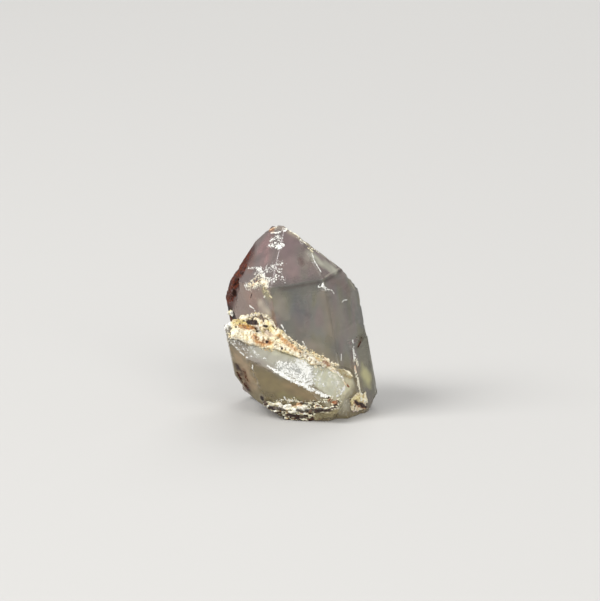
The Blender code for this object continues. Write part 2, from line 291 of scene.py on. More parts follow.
# Tones on the quartz, each along a stroke of pixels. Besides the quartz's own colours they hold
# painted light and shade: faces painted paler or darker than their own colour, dark lines under
# edges and thin painted highlights along edges and outlines.
QUARTZ_TONES_AND_PAINTED_LIGHT = [  # colour, pixels, reach in mm, strength
    ((110, 110, 106), [(277, 291), (296, 288), (316, 284)], 2.6, 0.7),
    ((108, 112, 116), [(296, 306), (301, 316)], 3.0, 0.7),
    ((166, 150, 130), [(326, 296), (331, 318), (334, 334)], 2.6, 0.65),
    ((170, 162, 146), [(277, 300), (283, 316)], 2.2, 0.65),
    ((118, 118, 110), [(290, 328), (300, 338)], 3.2, 0.6),
    ((172, 160, 148), [(306, 346), (316, 350)], 2.0, 0.6),
    ((118, 114, 104), [(334, 342), (338, 350)], 2.2, 0.6),
    ((164, 156, 132), [(322, 354), (330, 358)], 2.0, 0.6),
    ((124, 120, 112), [(345, 300), (349, 318)], 2.4, 0.6),
    ((142, 120, 114), [(332, 280), (342, 283), (348, 292)], 1.9, 0.75),
    # Painted shade: dark lines just under the edges where the point meets the prism, and above the
    # right one a thin painted highlight.
    ((74, 62, 54), [(325, 281.5), (334, 276), (341, 271)], 0.6, 0.9),
    ((90, 80, 74), [(280, 289), (288, 288), (304, 285), (319, 282.5)], 0.55, 0.8),
    ((216, 208, 190), [(325, 277), (332, 272.5), (340, 267)], 0.25, 0.7),
    ((236, 236, 214), [(313, 255), (323, 263), (330, 267)], 2.2, 0.85),
    ((220, 206, 186), [(274, 229), (279, 228), (285, 228)], 0.9, 0.9),
    ((204, 136, 76), [(270, 230), (274, 229)], 0.6, 0.85),
    ((212, 215, 211), [(284, 367), (296, 369), (307, 374)], 2.7, 0.8),
    ((240, 238, 224), [(242, 334), (250, 339), (258, 346)], 1.3, 0.8),
    # Partly the band's pale frosting, partly painted light: near white under the ledge crust, to
    # lift the shade of its overhang.
    ((246, 244, 214), [(274, 350), (285, 353.5), (295, 357), (304, 361)], 1.5, 0.9),
    ((222, 218, 196), [(262, 352), (270, 357), (278, 361)], 1.4, 0.7),
    # Painted shade on the lower left, under the ledge crust.
    ((126, 114, 98), [(234, 340), (240, 346), (246, 352)], 1.2, 0.6),
    # Partly the shell break's milky white, partly a painted highlight at its right.
    ((255, 254, 236), [(335, 384), (340, 391)], 1.8, 0.85),
    ((224, 212, 182), [(290, 230), (301, 239), (312, 247)], 0.9, 0.85),
    ((156, 138, 140), [(316, 253), (322, 259)], 1.1, 0.8),
    ((152, 146, 134), [(266, 292), (268, 316)], 1.2, 0.9),
    # Painted light along the crease on the right of the front face, so that its dark line hardly
    # shows.
    ((152, 144, 130), [(326, 292), (331, 318), (335, 345)], 0.4, 0.6),
    ((140, 138, 126), [(297, 250), (301, 268), (304, 276)], 1.6, 0.6),
    ((112, 88, 84), [(300, 259), (302, 264)], 0.8, 0.8),
    ((166, 140, 141), [(290, 240), (288, 258), (292, 272)], 3.0, 0.6),
    ((190, 150, 148), [(262, 248), (268, 240), (266, 260)], 2.6, 0.7),
    ((150, 108, 96), [(252, 258), (250, 270)], 2.0, 0.6),
    ((180, 140, 124), [(250, 298), (258, 300)], 3.2, 0.7),
    ((188, 180, 126), [(264, 291), (269, 297)], 1.5, 0.7),
    ((240, 228, 206), [(261, 305), (268, 313)], 2.2, 0.85),
    # Painted highlights: thin light lines along the right outline of the point and the prism.
    ((220, 212, 192), [(318, 250), (328, 257), (337, 265)], 0.35, 0.8),
    ((196, 188, 172), [(339, 268), (349, 279), (355, 290)], 0.3, 0.7),
    ((222, 190, 150), [(238, 354), (244, 368), (250, 384)], 3.0, 0.85),
    ((150, 104, 62), [(244, 370), (246, 377), (249, 382)], 0.9, 0.8),
    ((172, 158, 146), [(250, 358), (262, 364), (272, 369)], 1.3, 0.7),
    ((186, 166, 118), [(262, 380), (280, 388)], 3.0, 0.75),
    ((200, 172, 126), [(290, 386), (310, 397)], 2.2, 0.8),
    ((150, 136, 98), [(262, 393), (272, 398)], 1.7, 0.7),
    ((216, 202, 172), [(262, 397), (262, 400)], 1.0, 0.8),
    # Painted highlight: a thin light line along the side crystal's right outline.
    ((206, 204, 190), [(369, 352), (373, 372), (377, 394)], 0.3, 0.8),
    ((186, 176, 120), [(282, 396), (296, 399)], 1.5, 0.6),
    # Painted shade on the lower left, under the ledge crust.
    ((128, 118, 102), [(232, 338), (244, 348)], 2.4, 0.8),
    ((200, 188, 146), [(338, 371), (346, 376), (351, 382)], 1.6, 0.85),
    # Painted light: the crossing crystal's lower right end is painted far paler than its own tan,
    # to make up for the shade on it.
    ((255, 246, 206), [(338, 404), (348, 392), (352, 384)], 3.4, 0.95),
    ((255, 250, 220), [(348, 396), (344, 408)], 1.8, 0.8),
    ((186, 176, 150), [(343, 412), (350, 402)], 2.0, 0.6),
    ((150, 138, 132), [(367, 393), (371, 400)], 1.8, 0.6),
    ((104, 90, 62), [(357, 348), (362, 338)], 0.8, 0.85),
]


FAINT_EDGES = [  # pixels, along edges that hardly show in the photograph
    [(281, 234), (278, 250), (273, 284)],
    [(276, 289), (296, 286), (320, 281)],
    [(322, 281), (341, 269)],
    [(273, 290), (272, 316)],
    [(325, 290), (331, 318), (335, 345)],
]
FAINT_REACH = 2.0
APEX = [(279, 228), (282, 227)]
SHELL_BREAK, SHELL_MIDDLE = [(324, 377), (333, 384), (339, 390)], [(331, 384)]
SIDE_CRYSTAL, SIDE_GLOW = [(366, 345), (371, 385)], [(364, 372), (368, 380)]
FLANK = [(247, 254), (240, 268), (233, 284), (228, 302)]
FLANK_STAIN = [(249, 252), (242, 264), (236, 278), (231, 292), (228, 306)]
FLANK_PITS, UPPER_FLANK_PITS = [(237, 284), (233, 290), (235, 298)], [(241, 270), (238, 277)]
LEFT_FOOT, LEFT_NOTCH = [(238, 366), (242, 380), (248, 389)], [(229, 312), (234, 318)]
LOW_PIT = [(262, 397.5), (262, 399)]

FACE_MATCH, FACE_BLUR = 0.995, 0.004  # cosines
LINE_DEPTH, LINES_ABOVE = 0.03, 12
WAVE_DEPTH = 0.05
RIB_DEPTH, UNDER_RIB_DEPTH = 0.10, 0.03
BREAK_DEPTH, FINE_BREAK_DEPTH = 0.20, 0.09
SHELL_BULGE, SHELL_RING_DEPTH = 0.45, 0.03
CHIP_DEPTH, CHIPS_ABOVE = 0.34, 1.0
APEX_RISE = 0.45
TONE_FADE = 1.5  # a tone fades to nothing at this many times its reach
WANDER_REACH = 1.3  # tones that reach further than this have wandering borders


class QuartzSurface:
    """The fine quartz surface, with the flat face and the nearest edge of each of its points."""

    def __init__(self):
        self.mesh = fine_mesh(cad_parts["smoky_quartz"], QUARTZ_VOXEL)
        self.points, self.normals = read_points(self.mesh)
        self.flats = np.empty_like(self.points)
        self.edge = np.empty(len(self.points))
        for index, point in enumerate(self.points):
            spot = Vector(point)
            near, flat, _, _ = QUARTZ.tree.find_nearest(spot)
            self.flats[index] = flat
            self.edge[index] = QUARTZ.edges.find(spot)[2]
            if self.edge[index] > ROUNDED_EDGE:
                self.points[index] = near
        faint = [blot(self.points, pixels, FAINT_REACH) for pixels in FAINT_EDGES]
        self.edge_strength = 1 - np.maximum.reduce(faint)

    def on(self, normal):
        """1 for the points that lie on a flat face with this normal."""
        return smooth(FACE_MATCH - FACE_BLUR, FACE_MATCH, self.flats @ np.asarray(normal))

    def shape(self):
        """Gives the flat faces their growth lines, waves, chips and broken ends."""
        points, rise = self.points, np.zeros(len(self.points))
        x, y, z = points.T
        height, along = points @ np.array(MAIN_AXIS), points @ np.array(CROSSING_AXIS)
        prism = 1 - smooth(0.03, 0.08, np.abs(self.flats @ np.array(MAIN_AXIS)))
        lines = noise_at(np.stack([x * 0.04, y * 0.04, height * 1.15], axis=1))
        rise += LINE_DEPTH * lines * prism * (z > LINES_ABOVE)
        rise += WAVE_DEPTH * grain(points, 9.0, 3.1)
        band = self.on(crossing_face(CROSSING_SIDE_TILT))
        under = self.on(crossing_face(-CROSSING_SIDE_TILT))
        ribs = noise_at(np.stack([along * 1.3, y * 0.12, z * 0.12], axis=1))
        rise += ribs * (RIB_DEPTH * band + UNDER_RIB_DEPTH * under)
        self.broken = 1 - np.clip(prism + band + under + self.end_faces(), 0, 1)
        rise += self.broken * BREAK_DEPTH * grain(points, 3.2, 8.0)
        rise += self.broken * FINE_BREAK_DEPTH * grain(points, 1.1, 2.0)
        reach = stroke_distance(points, QUARTZ.stroke(SHELL_MIDDLE))
        rings = np.sin(2.6 * reach + 1.5 * grain(points, 3))
        bulge = SHELL_BULGE * (1 - smooth(0, 5.0, reach)) + SHELL_RING_DEPTH * rings
        rise += self.shell_break() * bulge
        chips = smooth(0.12, 0.45, grain(points, 1.7, 7.7)) * (1 - smooth(0.1, 0.85, self.edge))
        chips *= self.edge_strength
        rise -= CHIP_DEPTH * chips * (z > CHIPS_ABOVE)
        rise += APEX_RISE * blot(points, APEX, 2.2, 1.0)
        points += self.normals * rise[:, None]
        points[:, 2] = np.maximum(points[:, 2], 0.0)
        write_points(self.mesh, points)
        self.points, self.normals = read_points(self.mesh)

    def end_faces(self):
        """1 on the sloping faces of the point."""
        turns = range(0, 360, 60)
        return sum(self.on(quartz_face(azimuth, END_FACE_SLOPE)) for azimuth in turns)

    def shell_break(self):
        """1 on the polished, shell-like break at the crossing crystal's right end."""
        return blot(self.points, SHELL_BREAK, 4.2, 0.25) * (self.flats[:, 1] < -0.7)

    def colour(self):
        points = self.points
        cloud, fine = grain(points, 6.0, 1.5), grain(points, 1.8, 4.5)
        x, y, _ = points.T
        height = points @ np.array(MAIN_AXIS)
        streaks = noise_at(np.stack([x / 2.4, y / 2.4, height / 8], axis=1))
        crossing = np.clip(self.on(crossing_face(-CROSSING_SIDE_TILT)) + self.low_front(), 0, 1)
        shell = self.shell_break()
        veil = smooth(-0.05, 0.3, grain(points, 1.3, 23.0, (1.6, 1, 0.35)))
        side = blot(points, SIDE_CRYSTAL, 6.0, 0.4) * (self.flats[:, 0] > 0.5)
        drift = [grain(points, 2.2, seed) for seed in (31.0, 47.0, 63.0)]
        wander = points + np.stack(drift, axis=1)
        base = washed(np.tile(np.array(linear(146, 144, 136)), (len(points), 1)), [
            ((128, 128, 124), smooth(-0.1, 0.5, cloud) * 0.8),
            ((158, 148, 136), smooth(0.0, 0.5, -cloud) * 0.7),
            ((160, 138, 138), smooth(0.08, 0.4, streaks) * 0.55),
            ((146, 142, 112), smooth(0.08, 0.4, -streaks) * 0.55),
            ((148, 131, 128), self.end_faces() * 0.85),
            ((166, 138, 126), self.on(quartz_face(300, 0)) * 0.8),
            ((164, 148, 108), crossing * 0.9),
            # The upward band face is pale, partly from its frosting and partly as painted light
            # from above.
            ((200, 197, 176), self.on(crossing_face(CROSSING_SIDE_TILT))),
            ((248, 246, 212), shell),
            ((240, 241, 214), shell * veil * 0.8),
            ((138, 135, 114), side * 0.8),
            ((246, 240, 172), blot(wander, SIDE_GLOW, 3.4, 1.0) * 0.9),
        ])
        # Lays the quartz tones, painted light and shade among them.
        for tone, pixels, reach, strength in QUARTZ_TONES_AND_PAINTED_LIGHT:
            ground = wander if reach > WANDER_REACH else points
            patch = blot(ground, pixels, reach * TONE_FADE, 1.0) * (1 + 0.4 * fine)
            base = mix(base, linear(*tone), np.clip(patch, 0, 1) * strength)
        stain = self.stain()
        thin_stain = np.clip(stain, 0, 1)
        # Paler edges: partly wear, partly a painted highlight along the sharp edges.
        edges = (1 - smooth(0.1, 0.5, self.edge)) * smooth(-0.1, 0.4, grain(points, 2.4, 6.6))
        edges *= self.edge_strength
        base = washed(base, [
            ((108, 46, 32), blot(points, FLANK, 5.0, 0.8) * 0.95),
            ((64, 18, 8), thin_stain * 0.94),
            ((30, 12, 8), smooth(0.8, 1.25, stain) * 0.95),
            ((205, 200, 192), edges * 0.35 * (1 - thin_stain)),
        ])
        set_colour(self.mesh, base * (1 + 0.08 * fine)[:, None])
        set_value(self.mesh, "frost", self.frost(thin_stain))

    def low_front(self):
        """1 on the tan left facet and end of the crossing crystal."""
        low = 1 - smooth(14.0, 24.0, self.points[:, 2] + 0.35 * self.points[:, 0])
        return low * (self.flats[:, 1] < 0.2) * (1 - smooth(-9.0, 4.0, self.points[:, 1]))

    def stain(self):
        """Iron stain on the left flank, in the pits and along the back's foot."""
        points = self.points
        blotch = smooth(-0.6, 0.15, grain(points, 1.8, 5.0) + 0.5 * grain(points, 0.7, 1.3))
        flank, left_foot = blot(points, FLANK_STAIN, 4.2, 0.8), blot(points, LEFT_FOOT, 2.4, 0.9)
        pits = blot(points, FLANK_PITS, 1.7, 0.8)
        pits = np.maximum(pits, blot(points, UPPER_FLANK_PITS, 0.9, 0.9))
        notch, low_pit = blot(points, LEFT_NOTCH, 1.8, 0.6), blot(points, LOW_PIT, 0.8, 0.4)
        low = (1 - smooth(1.0, 7.0, points[:, 2])) * smooth(-2.0, 3.0, points[:, 1])
        low *= smooth(0.05, 0.5, grain(points, 3.0, 17.0) + 0.5 * grain(points, 0.9, 2.7))
        return (flank * blotch + pits * smooth(-0.4, 0.2, grain(points, 0.9, 2.2))
                + left_foot * blotch + 1.3 * notch + 1.5 * low_pit + 0.8 * low)

    def frost(self, thin_stain):
        """How matt the surface is, from 0 to 1."""
        band = self.on(crossing_face(CROSSING_SIDE_TILT))
        worn = 1 - smooth(0.05, 0.45, self.edge)
        worn *= smooth(-0.2, 0.3, grain(self.points, 2.0, 9.0)) * self.edge_strength
        return np.clip(0.7 * band + 0.6 * self.broken + 0.7 * worn + thin_stain, 0, 1)


class Nodes:
    """Short calls for building a material's nodes."""

    def __init__(self, name):
        self.material = bpy.data.materials.new(name)
        self.material.use_nodes = True
        self.tree = self.material.node_tree
        self.shader = self.tree.nodes["Principled BSDF"]
        self.output = self.tree.nodes["Material Output"]

    def add(self, kind, **values):
        node = self.tree.nodes.new(kind)
        for key, value in values.items():
            if hasattr(node, key):
                setattr(node, key, value)
            else:
                node.inputs[key.replace("_", " ")].default_value = value
        return node

    def link(self, source, target):
        self.tree.links.new(source, target)

    def noise(self, scale, detail=4.0, roughness=0.55):
        place = self.add("ShaderNodeTexCoord")
        texture = self.add("ShaderNodeTexNoise", Scale=scale, Detail=detail, Roughness=roughness)
        self.link(place.outputs["Object"], texture.inputs["Vector"])
        return texture.outputs["Fac"]

    def spread(self, value, low, high):
        """A value from 0 to 1, spread from low to high."""
        node = self.add("ShaderNodeMapRange", To_Min=low, To_Max=high)
        self.link(value, node.inputs["Value"])
        return node.outputs["Result"]

    def ramp(self, value, stops):
        node = self.add("ShaderNodeValToRGB")
        while len(node.color_ramp.elements) < len(stops):
            node.color_ramp.elements.new(0.5)
        for element, (place, colour) in zip(node.color_ramp.elements, stops):
            element.position = place
            element.color = (*colour, 1)
        self.link(value, node.inputs["Fac"])
        return node.outputs["Color"]

    def multiply(self, first, second):
        node = self.add("ShaderNodeMix", data_type="RGBA", blend_type="MULTIPLY")
        node.inputs[0].default_value = 1
        self.link(first, node.inputs[6])
        self.link(second, node.inputs[7])
        return node.outputs[2]

    def tint(self):
        return self.add("ShaderNodeAttribute", attribute_name="tint").outputs["Vector"]

    def bump(self, height, strength, distance):
        node = self.add("ShaderNodeBump", Strength=strength, Distance=distance)
        self.link(height, node.inputs["Height"])
        self.link(node.outputs["Normal"], self.shader.inputs["Normal"])


QUARTZ_IOR, CRUST_IOR, IRON_IOR = 1.544, 1.6, 1.25
TRANSMISSION = 0.55
QUARTZ_ROUGHNESS = 0.18, 0.6  # where clear and where frosted
SMOKE_COLOUR, SMOKE_DENSITY = (0.62, 0.57, 0.53, 1), 38.0


def quartz_look():
    nodes = Nodes("smoky quartz")
    shader = nodes.shader
    shader.inputs["Transmission Weight"].default_value = TRANSMISSION
    shader.inputs["IOR"].default_value = QUARTZ_IOR
    cloud = nodes.ramp(nodes.noise(260), [(0.3, (0.87, 0.87, 0.88)), (0.7, (1.0, 1.0, 0.98))])
    nodes.link(nodes.multiply(nodes.tint(), cloud), shader.inputs["Base Color"])
    frost = nodes.add("ShaderNodeAttribute", attribute_name="frost").outputs["Fac"]
    nodes.link(nodes.spread(frost, *QUARTZ_ROUGHNESS), shader.inputs["Roughness"])
    nodes.bump(nodes.noise(900, 4, 0.6), 0.12, 0.0003)
    smoke = nodes.add("ShaderNodeVolumeAbsorption", Density=SMOKE_DENSITY)
    smoke.inputs["Color"].default_value = SMOKE_COLOUR
    nodes.link(smoke.outputs["Volume"], nodes.output.inputs["Volume"])
    return nodes.material


def crust_look(name, stops, roughness, ior=CRUST_IOR):
    nodes = Nodes(name)
    speck = nodes.ramp(nodes.noise(1500, 5, 0.65), stops)
    nodes.link(nodes.multiply(nodes.tint(), speck), nodes.shader.inputs["Base Color"])
    nodes.shader.inputs["Roughness"].default_value = roughness
    nodes.shader.inputs["IOR"].default_value = ior
    nodes.bump(nodes.noise(2200, 5, 0.7), 0.65, 0.0003)
    return nodes.material


def squeeze(points, presses):
    """Presses a crust's points towards the quartz where strokes of pixels say so.

    Returns the share of the crust that is left at each point.
    """
    left_over = np.ones(len(points))
    for pixels, radius, amount in presses:
        share = amount * blot(points, pixels, radius, 0.6)
        for index in np.flatnonzero(share > 0.01):
            near = QUARTZ.tree.find_nearest(Vector(points[index]))[0]
            points[index] += (np.array(near) - points[index]) * share[index]
        left_over = np.minimum(left_over, 1 - share)
    return left_over


CRUST_GROWTH = 0.32  # closes the gap that the crusts' solids keep from the quartz
LUMP_RISE, GRAIN_RISE, SWELL_RISE = 0.26, 0.28, 0.25
PIT_DEPTH, DARK_PIT_DEPTH = 0.30, 0.45


def lumpy_crust(node_name, look, paint, presses, sinks=(), soften=12, layers=0.0):
    """A crust's fine mesh: grown into the quartz, with lumps, grains, pits and layers."""
    mesh = fine_mesh(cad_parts[node_name], CRUST_VOXEL, soften)
    points, _ = read_points(mesh)
    loose = squeeze(points, presses)
    for pixels, radius, drop in sinks:
        points[:, 2] -= drop * picture_blot(points, pixels, radius, 0.9)
    write_points(mesh, points)
    points, normals = read_points(mesh)
    lumps = 0.5 - cells(points, 1.0, 2.0)
    grains = 0.5 - cells(points, 0.45, 5.0)
    pits = smooth(0.22, 0.5, grain(points, 0.8, 12.0))
    rise = CRUST_GROWTH + LUMP_RISE * lumps + GRAIN_RISE * grains
    rise += SWELL_RISE * grain(points, 2.0) - PIT_DEPTH * pits
    rise += layers * base_layers(points)
    rise = rise * (0.25 + 0.75 * loose) - DARK_PIT_DEPTH * dark_pits(points)
    points = points + normals * rise[:, None]
    points[:, 2] = np.maximum(points[:, 2], FLOOR_GAP)
    write_points(mesh, points)
    set_colour(mesh, mix(paint(points), PIT_BROWN, pits * 0.55))
    piece = new_piece(node_name + "_fine", mesh, look)
    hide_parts(node_name)
    return piece


CREAM, YELLOW, ORANGE = linear(240, 233, 206), linear(226, 212, 152), linear(206, 140, 80)
RUST, DARK, WHITE = linear(146, 82, 32), linear(46, 26, 20), linear(238, 238, 232)
TAN, ROSE_GREY, GREENISH = linear(190, 182, 150), linear(178, 160, 148), linear(204, 184, 110)
BONE, PALE = linear(228, 224, 192), linear(216, 212, 196)
OLIVE, PIT_BROWN, BURNT = linear(164, 154, 120), linear(112, 74, 44), linear(206, 142, 50)
CRUST_TONES = [  # colour, pixels, reach in mm, strength
    (GREENISH, [(236, 322), (242, 322), (247, 326)], 1.7, 0.85),
    (BURNT, [(240, 326), (246, 327), (256, 328)], 1.1, 0.8),
    (RUST, [(244, 327), (248, 329), (254, 328)], 0.7, 0.6),
    (CREAM, [(238, 330), (246, 333), (254, 338)], 1.0, 0.9),
    (ROSE_GREY, [(265, 331), (271, 335)], 1.0, 0.8),
    (YELLOW, [(268, 322), (273, 329)], 1.0, 0.8),
    (WHITE, [(256, 326), (260, 332)], 0.8, 0.7),
    (PALE, [(233, 339), (244, 342), (256, 347)], 1.1, 0.9),
    (WHITE, [(240, 318), (248, 316), (257, 314.5)], 0.45, 0.8),
    (WHITE, [(264, 316), (270, 320), (274, 326)], 0.5, 0.8),
    (BURNT, [(254, 336), (257, 342), (264, 344), (270, 343)], 1.3, 0.75),
    (RUST, [(254, 336), (259, 338)], 0.6, 0.6),
    (RUST, [(257, 342), (266, 343.5)], 0.5, 0.6),
    (RUST, [(264, 340), (270, 343)], 0.7, 0.8),
    (BURNT, [(278, 335), (286, 341)], 0.9, 0.7),
    (BURNT, [(285, 342), (294, 348)], 1.2, 0.6),
    (BURNT, [(296, 350), (304, 353)], 0.8, 0.5),
    (PALE, [(304, 354), (314, 360), (323, 366)], 1.6, 0.85),
    (BURNT, [(316, 358), (319, 360)], 0.5, 0.4),
    (RUST, [(324, 361.5), (329, 365)], 0.9, 0.8),
    (OLIVE, [(340, 372), (347, 377), (351, 382)], 2.2, 1.0),
    (OLIVE, [(339, 369), (346, 373), (352, 379)], 1.5, 1.0),
    (CREAM, [(331, 363), (338, 365), (346, 370), (353, 376)], 0.4, 0.9),
    (WHITE, [(331, 369), (338, 373), (343, 378)], 0.5, 0.9),
    (YELLOW, [(351, 404), (354, 399), (362, 397)], 1.2, 0.8),
    (RUST, [(355, 402), (360, 406), (367, 408)], 1.1, 0.9),
    # Painted shade in the foot crust's pits.
    (DARK, [(355, 401), (358, 404)], 0.6, 0.85),
    (DARK, [(360, 404), (364, 406)], 0.7, 0.85),
    (ROSE_GREY, [(351, 412), (360, 413), (370, 411)], 1.0, 1.0),
]
BASE_WHITE = [(284, 405), (292, 407), (304, 409)]
BASE_OLIVE = [(318, 417), (330, 416), (340, 412)]
BASE_TONES_AND_PAINTED_SHADOWS = [  # colour, pixels, reach in mm, raggedness, strength
    (BURNT, [(293, 405), (301, 404)], 0.8, 1.0, 0.7),
    (RUST, [(330, 401), (336, 402)], 1.1, 1.0, 0.9),
    # Painted shadows: the DARK rows are the shade among the base crust's flakes.
    (DARK, [(264, 402), (266, 404)], 0.9, 1.2, 0.9),
    (DARK, [(270, 407), (277, 408), (284, 410)], 0.8, 1.2, 0.9),
    (DARK, [(297, 410), (303, 412)], 0.6, 1.2, 0.9),
    (DARK, [(306, 411), (319, 409.5), (331, 411)], 0.8, 1.2, 0.9),
    (DARK, [(288, 415), (302, 417)], 0.8, 1.2, 0.9),
    (DARK, [(301, 403), (307, 404)], 0.5, 1.2, 0.9),
]
CREAMY_PATCH = [(250, 284), (258, 281), (264, 287)]
WHITE_TONES = [  # colour, pixels, reach in mm, softness, strength, whether it shows in specks
    (CREAM, [(356, 362), (358, 378), (360, 392)], 2.0, 0.9, 0.8, False),
    (ORANGE, [(355, 365), (357, 371)], 1.1, 0.9, 0.6, False),
    (CREAM, [(336, 374), (345, 382)], 2.6, 0.9, 0.7, False),
    (CREAM, CREAMY_PATCH, 3.2, 0.9, 1.0, False),
    (YELLOW, [(264, 291), (271, 296)], 1.8, 0.6, 0.7, False),
    (YELLOW, [(230, 310), (232, 315)], 1.3, 0.6, 0.8, False),
    (YELLOW, [(308, 247), (316, 254)], 1.8, 0.6, 0.6, False),
    (BURNT, CREAMY_PATCH, 3.2, 0.9, 0.5, True),
    (BURNT, [(270, 230), (275, 230)], 1.2, 0.7, 0.7, False),
    (CREAM, [(276, 227), (281, 225), (296, 234), (312, 246)], 0.9, 0.5, 0.8, False),
    (RUST, [(257, 281)], 0.8, 0.6, 0.9, False),
]
CROSSING_RIDGE = [(268, 366), (276, 371), (290, 379), (306, 387), (327, 397)]
END_FIBRES = [(350, 391), (348, 402), (342, 413)]
STAIN_BROWN = linear(106, 56, 42)
STAIN_VEIN = [(246, 266), (242, 274), (237, 284), (234, 292), (232, 299)]
STAIN_FLANK = [(247, 257), (240, 270), (233, 284), (228, 300)]
STAIN_SPECK = [(348, 386)]
# Pits that are sunk into the crusts and also painted dark, as painted shade.
DARK_PITS = [  # pixels, reach in mm
    ([(249, 322), (255, 322.5)], 1.1), ([(261, 316), (262, 318)], 0.55),
    ([(264, 326), (267, 326.5)], 0.45), ([(258, 324)], 0.35), ([(267, 342)], 0.6),
    ([(282, 348.5)], 0.5), ([(236, 327)], 0.4), ([(240, 324)], 0.3), ([(244, 321)], 0.3),
    ([(300, 353)], 0.35), ([(356, 402), (358, 404)], 0.55), ([(361, 404), (363, 406)], 0.75),
    ([(366, 407)], 0.5),
]


def dark_pits(points):
    """1 in the dark pits of the crusts that face the photograph."""
    depth = np.zeros(len(points))
    for pixels, reach in DARK_PITS:
        depth = np.maximum(depth, picture_blot(points, pixels, reach, 0.6))
    return depth


def prehnite_paint(points):
    speckle, fine = grain(points, 0.8, 6.0), grain(points, 0.45, 9.0)
    base = np.tile(np.array(CREAM), (len(points), 1))
    base = mix(base, YELLOW, smooth(0.0, 0.5, grain(points, 2.4, 1.0)) * 0.7)
    base = mix(base, BURNT, smooth(0.2, 0.45, grain(points, 1.0, 8.0)) * 0.25)
    for colour, pixels, reach, strength in CRUST_TONES:
        weight = ragged(picture_blot(points, pixels, reach, 0.9), 0.7 * speckle + 1.3 * fine)
        base = mix(base, colour, weight * strength)
    base = mix(base, WHITE, smooth(0.2, 0.45, fine) * 0.35)
    # Painted shade: the sunk pits are painted near black.
    return mix(base, DARK, ragged(dark_pits(points), fine))


def base_layers(points):
    """The flat layers of the base crust, as noise from about -1 to 1."""
    return grain(points, 0.75, 3.0, (0.4, 1, 1.5))


def base_paint(points):
    layer, fine = base_layers(points), grain(points, 0.4, 8.0, (0.6, 1, 1.2))
    # The dark ground between the pale layers is partly the crust's own dark and partly painted
    # shade.
    base = np.tile(np.array(DARK), (len(points), 1))
    base = mix(base, RUST, smooth(0.2, 0.5, grain(points, 1.3, 4.0)) * 0.25)
    high = smooth(1.2, 4.5, points[:, 2])
    white = picture_blot(points, BASE_WHITE, 2.6, 0.8)
    body = layer + 0.6 * fine + 0.3 * high + 0.6 * white
    base = mix(base, BONE, smooth(0.14, 0.26, body))
    base = mix(base, WHITE, smooth(0.4, 0.6, body) * 0.8)
    base = mix(base, BURNT, smooth(0.35, 0.5, grain(points, 0.9, 11.0)) * 0.4)
    # Lays the base tones, painted shadows among them.
    for colour, pixels, reach, raggedness, strength in BASE_TONES_AND_PAINTED_SHADOWS:
        weight = ragged(picture_blot(points, pixels, reach, 0.8), raggedness * fine)
        base = mix(base, colour, weight * strength)
    return mix(base, OLIVE, picture_blot(points, BASE_OLIVE, 1.5, 0.5))


def stain_paint(points):
    vein, flank = blot(points, STAIN_VEIN, 1.7, 0.8), blot(points, STAIN_FLANK, 3.0, 0.3)
    dark = smooth(-0.25, 0.2, grain(points, 0.9, 2.0)) * (1 - 0.75 * flank * (1 - vein))
    base = np.tile(np.array(STAIN_BROWN), (len(points), 1))
    base = mix(base, DARK, dark)
    base = mix(base, RUST, blot(points, STAIN_SPECK, 1.2) * 0.8)
    return mix(base, RUST, smooth(0.3, 0.5, grain(points, 0.6, 14.0)) * 0.35)


def white_paint(points):
    specks = smooth(0.2, 0.45, grain(points, 0.8, 3.0))
    base = np.tile(np.array(WHITE), (len(points), 1))
    for colour, pixels, reach, softness, strength, speckled in WHITE_TONES:
        weight = blot(points, pixels, reach, softness) * strength
        base = mix(base, colour, weight * specks if speckled else weight)
    return base


def frost_paint(points):
    """The whites of the fibrous frosting: duller, but bright on the ridge and tan on the end."""
    base = mix(white_paint(points) * 0.86, WHITE, blot(points, CROSSING_RIDGE, 0.8))
    return mix(base, TAN, blot(points, END_FIBRES, 1.6) * 0.8)


def back_scatter(points):
    """How fully the speckled crust covers the faces that the photograph doesn't show."""
    hidden = np.array([QUARTZ.tree.find_nearest(Vector(point))[1].y > 0.15 for point in points])
    patches = 0.56 * smooth(0.16, 0.5, grain(points, 8.0, 21.0))
    patches += 0.34 * smooth(0.3, 0.5, grain(points, 3.0, 5.0))
    return patches * smooth(1.0, 3.0, points[:, 1]) * hidden


def skinned(name, data):
    """Gives an open mesh a thin closed skin that stays off the floor."""
    thin = bpy.data.objects.new(name, data)
    bpy.context.scene.collection.objects.link(thin)
    skin = thin.modifiers.new("skin", "SOLIDIFY")
    skin.thickness = SKIN * MM
    skin.offset = -1
    solid = evaluated(thin)
    bpy.data.objects.remove(thin)
    points, _ = read_points(solid)
    points[:, 2] = np.maximum(points[:, 2], FLOOR_GAP)
    write_points(solid, points)
    return solid, points


